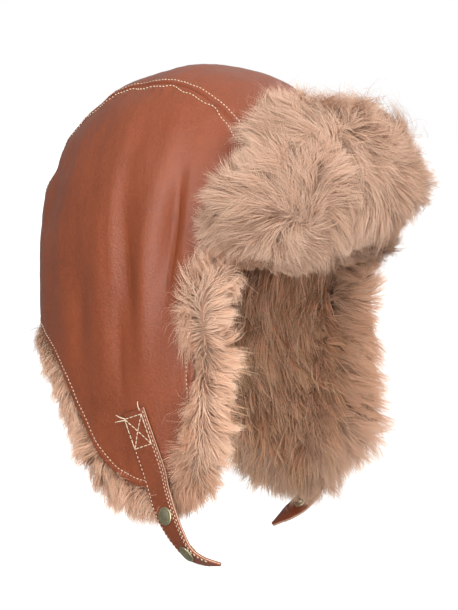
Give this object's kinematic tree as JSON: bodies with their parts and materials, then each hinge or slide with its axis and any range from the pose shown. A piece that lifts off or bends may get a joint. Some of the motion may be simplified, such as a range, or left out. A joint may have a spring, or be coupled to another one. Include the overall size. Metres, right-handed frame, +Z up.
{
  "type": "ushanka",
  "caption": "Brown leather trapper hat lined with deep fur, with a turned-up fur visor, long ear flaps edged in fur and a short leather snap strap on each flap.",
  "frame": {"origin": "middle of the head opening, level with the wearer's brow, where the hat sits on a head", "axes": "+Z up through the crown, the wearer looks along -Y, and the wearer's right side is -X"},
  "size_m": [0.2115, 0.2934, 0.3322],
  "materials": {
    "leather": "semi-gloss smooth grain",
    "strap_leather": "semi-gloss smooth grain",
    "fur": "long soft pile",
    "lining_fur": "long soft pile",
    "snap_metal": "antique, worn"
  },
  "bodies": {
    "root": {"crown_strip": "leather", "side_panel_right": "leather", "side_panel_left": "leather", "visor_leather": "leather", "visor_fur": "fur", "edge_fur_right": "fur", "edge_fur_left": "fur", "edge_fur_nape": "fur", "crown_lining": "lining_fur", "flap_lining_right": "lining_fur", "flap_lining_left": "lining_fur", "strap_right": "strap_leather", "strap_left": "strap_leather", "snap_right_upper": "snap_metal", "snap_right_lower": "snap_metal", "snap_left_upper": "snap_metal", "snap_left_lower": "snap_metal"}
  },
  "joints": []
}
